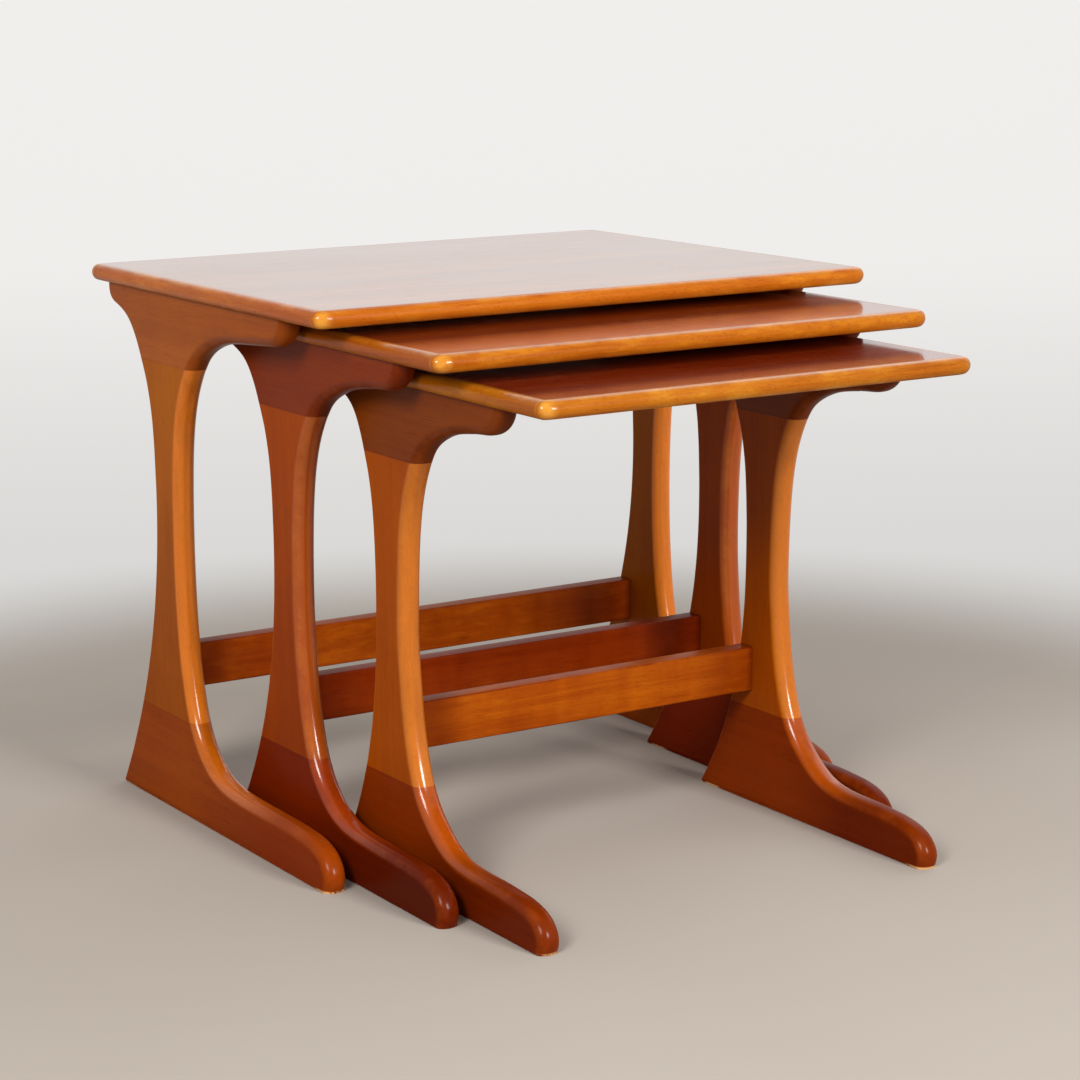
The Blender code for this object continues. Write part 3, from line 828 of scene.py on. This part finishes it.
def wood(name, seed, **words):
    """Lacquered wood with its grain along one axis, described in WOOD_DEFAULTS' words."""
    look = SimpleNamespace(**{**WOOD_DEFAULTS, **words})
    s = Shader(name)
    board = grain_of(s, seed, look)
    colour = darkened(s, board, look, grain_colour(s, board, look))
    coat = look.coat
    gloss = s.plus(look.roughness - FIBRE_ROUGHNESS / 2, board.fibres, FIBRE_ROUGHNESS)
    gloss = s.plus(gloss, s.spread(board.cloud, *DULLED), CLOUD_ROUGHNESS)
    # The rounded front's painted highlight, and on a bracket its painted shade.
    if look.front:
        share = s.attribute("front")
        colour = painted_front(s, board, look, colour, share)
        coat = s.plus(coat, share, look.front_coat)
    if look.fleck:
        colour = flecked(s, board, look, colour)
    if look.worn:
        # Rubbed edges, and at a lipping's left corners a painted highlight.
        wear_and_highlight = edge_wear_and_highlight(s, board, look)
        colour = s.mix(wear_and_highlight, colour, look.worn)
        if look.edge_coat:
            coat = s.plus(coat, wear_and_highlight, look.edge_coat)
    if look.chips:
        bare = chipped_sole(s, board, look)
        colour = s.mix(bare, colour, BARE_WOOD)
        gloss = s.plus(gloss, bare, BARE_ROUGHNESS)
    if look.top_coat is not None:
        up = s.axis(s.coordinates("Normal"), "Z")
        coat = s.spread(up, *UPWARD, coat, look.top_coat)
        gloss = s.mix_value(s.spread(up, *UNDERSIDE), UNDERSIDE_ROUGHNESS, gloss)
    body_normal, lacquer_normal = relief(s, board, look)
    return s.surface(Base_Color=colour, Roughness=gloss, Specular_IOR_Level=look.specular,
                     Coat_Weight=coat, Coat_Roughness=look.coat_roughness,
                     Normal=body_normal, Coat_Normal=lacquer_normal)


# Each kind of board, in the words of WOOD_DEFAULTS.
# The front colours are painted: a highlight on uprights and feet, shade on brackets.
WOODS = {
    "top_panel": dict(grain="x", dark=(0.13, 0.016, 0.001), mid=(0.22, 0.032, 0.002),
                      light=(0.31, 0.060, 0.004), blotch=0.25, roughness=0.24,
                      coat=0.0, top_coat=1.0, coat_roughness=0.075, bands=30.0, relief=0.12,
                      specular=0.12, contrast=1.2),
    # The lipping's worn colour also paints the highlight on its left corners.
    "lipping": dict(grain="x", dark=(0.18, 0.030, 0.001), mid=(0.34, 0.080, 0.003),
                    light=(0.42, 0.120, 0.006), worn=(0.66, 0.31, 0.035), blotch=0.5,
                    fleck=0.45, roughness=0.33, coat=0.03, top_coat=1.0,
                    coat_roughness=0.10, wear=0.3, specular=0.08, edge_coat=1.2,
                    flame=(0.54, 0.21, 0.015)),
    "bracket": dict(grain="y", dark=(0.14, 0.018, 0.002), mid=(0.22, 0.034, 0.003),
                    light=(0.28, 0.052, 0.004), worn=(0.34, 0.075, 0.010), blotch=0.3,
                    roughness=0.30, coat=0.01, coat_roughness=0.20, specular=0.04,
                    front=0.6, front_colour=(0.15, 0.018, 0.001), contrast=0.7,
                    front_coat=0.1, fleck=0.2),
    "upright": dict(grain="z", dark=(0.20, 0.032, 0.001), mid=(0.28, 0.052, 0.001),
                    light=(0.36, 0.076, 0.002), worn=(0.46, 0.13, 0.010), blotch=0.4,
                    roughness=0.30, coat=0.02, coat_roughness=0.17, wear=0.7, front=0.9,
                    front_colour=(0.52, 0.132, 0.004), bands=15.0, contrast=0.6,
                    front_coat=0.8, fleck=0.3),
    "foot": dict(grain="y", dark=(0.15, 0.018, 0.001), mid=(0.21, 0.029, 0.001),
                 light=(0.27, 0.043, 0.001), worn=(0.34, 0.065, 0.005), blotch=0.3,
                 roughness=0.28, coat=0.02, coat_roughness=0.17, front=0.9,
                 front_colour=(0.42, 0.080, 0.003), bands=20.0, contrast=0.6,
                 front_coat=0.75, fleck=0.2),
    "rail": dict(grain="x", dark=(0.16, 0.022, 0.001), mid=(0.24, 0.043, 0.001),
                 light=(0.33, 0.076, 0.002), worn=(0.11, 0.010, 0.001), blotch=0.5,
                 roughness=0.32, coat=0.06, coat_roughness=0.18, ripple=0.30, wear=0.8,
                 contrast=0.75, fleck=0.3, flame=(0.45, 0.125, 0.004)),
}
# Tints of WOODS by table, which hold for a board that has none of its own below.
TINTS = {"large": (1.04, 1.36, 1.2), "middle": (0.94, 0.80, 0.7), "small": (0.94, 0.88, 0.9)}
BOARD_TINTS = {
    ("large", "bracket"): (1.20, 1.65, 1.0), ("middle", "bracket"): (0.72, 0.57, 0.4),
    ("small", "bracket"): (0.70, 0.80, 0.4),
    ("large", "foot"): (1.03, 1.20, 1.0), ("middle", "foot"): (0.62, 0.36, 0.4),
    ("small", "foot"): (0.80, 0.70, 0.6),
    ("large", "rail"): (0.78, 0.64, 0.7), ("middle", "rail"): (0.60, 0.35, 0.5),
    ("large", "lipping"): (0.97, 0.96, 0.9), ("middle", "lipping"): (0.86, 0.86, 0.6),
    ("small", "lipping"): (0.84, 0.93, 0.9),
    ("large", "top_panel"): (1.16, 1.72, 1.3), ("middle", "top_panel"): (1.0, 0.80, 0.8),
    ("small", "top_panel"): (0.88, 0.52, 0.8)}
SIDE_LIPPING_TINTS = {"large": (1.06, 0.96, 0.6), "middle": (0.80, 0.69, 0.5),
                      "small": (0.90, 0.94, 0.4)}
# Tints of the painted highlight on the uprights' rounded fronts, by table.
PAINTED_FRONT_TINTS = {("large", "upright"): (1.25, 1.22, 1.2), ("middle", "upright"): (0.62, 0.43, 0.6),
               ("small", "upright"): (0.82, 0.85, 0.9)}
# How much darker an upright gets towards its bottom, and a foot towards its toe, where the
# darkening is painted shade.
UPRIGHT_SHADE = {"large": (0.84, 0.73, 0.6), "middle": (0.79, 0.68, 0.5),
                 "small": (0.96, 0.95, 0.6)}
TOE_SHADE = {"large": (0.72, 0.50, 0.5), "middle": (0.52, 0.52, 0.5),
             "small": (0.60, 0.48, 0.5)}


def wood_for(t, kind, label):
    """The wood of one board: its kind's colours, its table's tint and a grain of its own."""
    look = dict(WOODS[kind])
    tint = BOARD_TINTS.get((t.name, kind), TINTS[t.name])
    if kind == "lipping" and label in ("left", "right"):
        look.update(grain="y", coat=0.12)
        tint = SIDE_LIPPING_TINTS[t.name]
    elif kind == "foot":
        heel, toe = t.middle_y - t.heel, t.middle_y - t.toe
        # Painted shade, darker towards the toe.
        look.update(chips=(heel, toe),
                    fade=("Y", t.middle_y - t.waist_front, toe + 90 * MM, TOE_SHADE[t.name]))
    elif kind == "rail":
        # Painted shade at the rail's ends, where they meet the frames.
        look.update(ends=(0.55 * t.inner_x, t.inner_x))
    elif kind == "upright":
        look.update(fade=("Z", t.bracket_line, t.foot_line, UPRIGHT_SHADE[t.name]))
    for key in ("dark", "mid", "light", "flame"):
        if key in look:
            look[key] = tinted(look[key], tint)
    # The rounded front's painted colour takes a tint of its own.
    if "front_colour" in look:
        look["front_colour"] = tinted(look["front_colour"],
                                      PAINTED_FRONT_TINTS.get((t.name, kind), tint))
    return wood(f"{t.name}_{kind}_{label}", f"{t.name} {kind} {label}", **look)


def raw_dowel_wood():
    """Pale unfinished wood for the hidden dowels."""
    s = Shader("raw_dowel_wood")
    fibres = s.cells(s.coordinates(), 20, 700, 3.0, 0.6)
    return s.surface(
        Base_Color=s.ramp(fibres, [(0.3, (0.42, 0.26, 0.12)), (0.7, (0.62, 0.44, 0.24))]),
        Roughness=s.plus(0.55, fibres, 0.2),
        Normal=s.bump(fibres, 0.4, 0.1 * MM))


def dull_steel():
    """Old screw steel, with patches of brown stain."""
    s = Shader("dull_steel")
    stain = s.spread(s.noise(s.coordinates(), 420.0, 4.0, 0.65), 0.42, 0.62)
    return s.surface(
        Base_Color=s.ramp(stain, [(0.0, (0.52, 0.50, 0.46)), (1.0, (0.20, 0.13, 0.08))]),
        Roughness=s.spread(stain, 0, 1, 0.32, 0.62),
        Metallic=s.spread(stain, 0, 1, 1.0, 0.6),
        Normal=s.bump(stain, 0.5, 0.05 * MM))


# ---- the set, the light and the camera ----------------------------------------------
WARM_WHITE = (1.0, 0.985, 0.965)
FLOOR_DARK = (0.355, 0.318, 0.286)
FLOOR_LIGHT = (0.38, 0.342, 0.309)
GLOW_START = 0.72               # how far out the floor begins to glow like the wall
GLOW_END = 1.25
BRIGHT_SIDE = (0.49, 0.87)      # x and y of the way to the wall's brighter side
WALL_DIM = 0.50
WALL_BRIGHT = 0.92
WALL_SIDES = (-4.0, 5.5)        # metres along BRIGHT_SIDE: the dimmest, the brightest
WALL_LOW = 0.95                 # near the floor, beside the brightness higher up
WALL_LOW_HEIGHTS = (0.7, 1.5)
FLOOR_RINGS = (1.0, 2.5)        # inside the floor's edge
FLOOR_REACH = 4.4
WALL_REACH = 6.0
WALL_HEIGHT = 5.0
STUDIO_SIDES = 96
COVE_STEPS = 12
STUDIO_DROP = 0.1 * MM          # keeps the floor clear of the soles
SKY = 0.5
AIM = (0, 0, 0.3)
# Name, place, size, power and colour of each light. All of them face AIM.
LIGHTS = (("key", (-2.40, -1.62, 1.90), (0.9, 1.1), 82, (1.0, 0.97, 0.92)),
          ("front", (0.45, -3.1, 1.40), (0.9, 1.0), 110, (1.0, 0.98, 0.95)),
          ("fill", (3.0, 0.9, 2.6), (2.8, 2.8), 30, (1.0, 0.99, 0.97)))
LENS = 94.16
CAMERA_PLACE = (-1.3201, -2.0750, 0.7671)
CAMERA_TURN = (90 - 11.76, 0.38, -32.52)


def studio_material():
    """A plain pale floor that turns into a softly glowing wall, brighter on one side."""
    s = Shader("pale_studio")
    place = s.coordinates()
    x, y, z = (s.axis(place, name) for name in "XYZ")
    away = s.math("SQRT", s.plus(s.product(y, y), x, x))
    brighter = s.plus(s.product(y, BRIGHT_SIDE[1]), x, BRIGHT_SIDE[0])
    glow = s.spread(away, GLOW_START, GLOW_END)
    floor = s.ramp(s.noise(place, 1.3, 3.0), [(0.3, FLOOR_DARK), (0.7, FLOOR_LIGHT)])
    strength = s.product(s.spread(brighter, *WALL_SIDES, WALL_DIM, WALL_BRIGHT),
                         s.spread(z, *WALL_LOW_HEIGHTS, WALL_LOW, 1.0))
    s.material.cycles.emission_sampling = "NONE"
    return s.surface(Base_Color=s.mix(glow, floor, (0.0, 0.0, 0.0)), Roughness=0.9,
                     Specular_IOR_Level=0.0, Emission_Color=WARM_WHITE,
                     Emission_Strength=s.product(glow, strength))


def make_studio():
    """A round floor that curves up into a wall, so every view has the same background."""
    cove = WALL_REACH - FLOOR_REACH
    profile = [(radius, 0.0) for radius in (*FLOOR_RINGS, FLOOR_REACH)]
    for i in range(1, COVE_STEPS + 1):
        angle = math.pi / 2 * i / COVE_STEPS
        profile.append((FLOOR_REACH + cove * math.sin(angle), cove * (1 - math.cos(angle))))
    profile.append((WALL_REACH, WALL_HEIGHT))
    mesh = bpy.data.meshes.new("studio")
    bm = bmesh.new()
    rings = []
    for radius, height in profile:
        rings.append([bm.verts.new((radius * math.cos(math.tau * i / STUDIO_SIDES),
                                    radius * math.sin(math.tau * i / STUDIO_SIDES), height))
                      for i in range(STUDIO_SIDES)])
    bm.faces.new(rings[0])
    for low, high in zip(rings, rings[1:]):
        for i in range(STUDIO_SIDES):
            j = (i + 1) % STUDIO_SIDES
            bm.faces.new((low[i], low[j], high[j], high[i]))
    bmesh.ops.recalc_face_normals(bm, faces=bm.faces)
    bm.to_mesh(mesh)
    bm.free()
    mesh.shade_smooth()
    mesh.materials.append(studio_material())
    studio = bpy.data.objects.new("studio", mesh)
    studio.location.z = -STUDIO_DROP
    bpy.context.scene.collection.objects.link(studio)


def area_light(name, place, size, power, colour):
    light = bpy.data.lights.new(name, "AREA")
    light.shape = "RECTANGLE"
    light.size, light.size_y = size
    light.energy = power
    light.color = colour
    obj = bpy.data.objects.new(name, light)
    obj.location = place
    obj.rotation_euler = (Vector(AIM) - Vector(place)).to_track_quat("-Z", "Y").to_euler()
    bpy.context.scene.collection.objects.link(obj)


def make_world():
    """Soft light from above the open top of the studio."""
    world = bpy.data.worlds.new("pale_sky")
    bpy.context.scene.world = world
    world.use_nodes = True
    background = world.node_tree.nodes["Background"]
    background.inputs["Color"].default_value = (*WARM_WHITE, 1.0)
    background.inputs["Strength"].default_value = SKY


def make_camera():
    """A long lens, looking a little down on the left front corner."""
    data = bpy.data.cameras.new("camera")
    data.sensor_width = 36.0
    data.lens = LENS
    camera = bpy.data.objects.new("camera", data)
    camera.location = CAMERA_PLACE
    camera.rotation_euler = [math.radians(angle) for angle in CAMERA_TURN]
    bpy.context.scene.collection.objects.link(camera)
    bpy.context.scene.camera = camera


def build_table(name, steel, dowel_wood):
    t = measure(name)
    top_panel(t, wood_for(t, "top_panel", "board"))
    for front, label in ((1, "front"), (-1, "back")):
        long_lipping(t, front, wood_for(t, "lipping", label))
    rail(t, wood_for(t, "rail", "bar"))
    for side, label in ((-1, "left"), (1, "right")):
        side_lipping(t, side, wood_for(t, "lipping", label))
        side_frame(t, side, wood_for)
        for place in ("front", "back"):
            screw(t, label, place, steel)
        for level in ("low", "high"):
            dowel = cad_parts[f"{name}_dowel_{label}_{level}"]
            dowel.data.materials.clear()
            dowel.data.materials.append(dowel_wood)


def main():
    make_camera()
    make_studio()
    make_world()
    for light in LIGHTS:
        area_light(*light)
    bpy.context.scene.view_settings.view_transform = "Standard"
    steel, dowel_wood = dull_steel(), raw_dowel_wood()
    for name in LEGS:
        build_table(name, steel, dowel_wood)


main()
